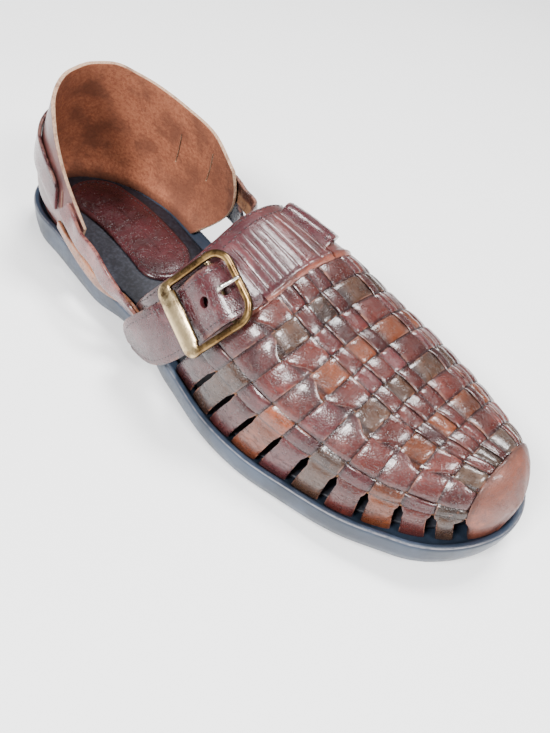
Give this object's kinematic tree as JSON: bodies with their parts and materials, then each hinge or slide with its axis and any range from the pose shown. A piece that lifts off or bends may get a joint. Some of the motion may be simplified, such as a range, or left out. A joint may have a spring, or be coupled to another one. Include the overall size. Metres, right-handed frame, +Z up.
{
  "type": "huarache sandal",
  "caption": "Right huarache sandal with a woven leather toe, an instep bridge, a buckled strap, an open waist and a heel counter on a rubber sole.",
  "frame": {"origin": "on the floor under the middle of the heel", "axes": "+X towards the toe, +Y to the inner side of the foot, +Z up from the floor"},
  "size_m": [0.289, 0.1032, 0.0851],
  "materials": {
    "rubber": "black rubber, smooth with a blue-grey sheen and a worn lip",
    "insole": "smooth black lining",
    "pad": "burgundy-brown leather with dark edge stitching",
    "woven": "glossy plum to tan leather strips",
    "counter": "smooth brown outside, tan suede inside",
    "strap": "glossy reddish brown leather with black stitching",
    "brass": "aged brass, worn bright on the wide bar",
    "prong": "worn plated metal"
  },
  "bodies": {
    "root": {"outsole": "rubber", "insole": "insole", "heel_pad": "pad", "upper_vamp": "woven", "heel_counter": "counter", "heel_strap": "strap", "side_strap_outer_upper": "strap", "side_strap_outer_lower": "strap", "side_strap_inner_upper": "strap", "side_strap_inner_lower": "strap", "buckle_strap": "strap", "buckle_frame": "brass", "buckle_prong": "prong"}
  },
  "joints": []
}
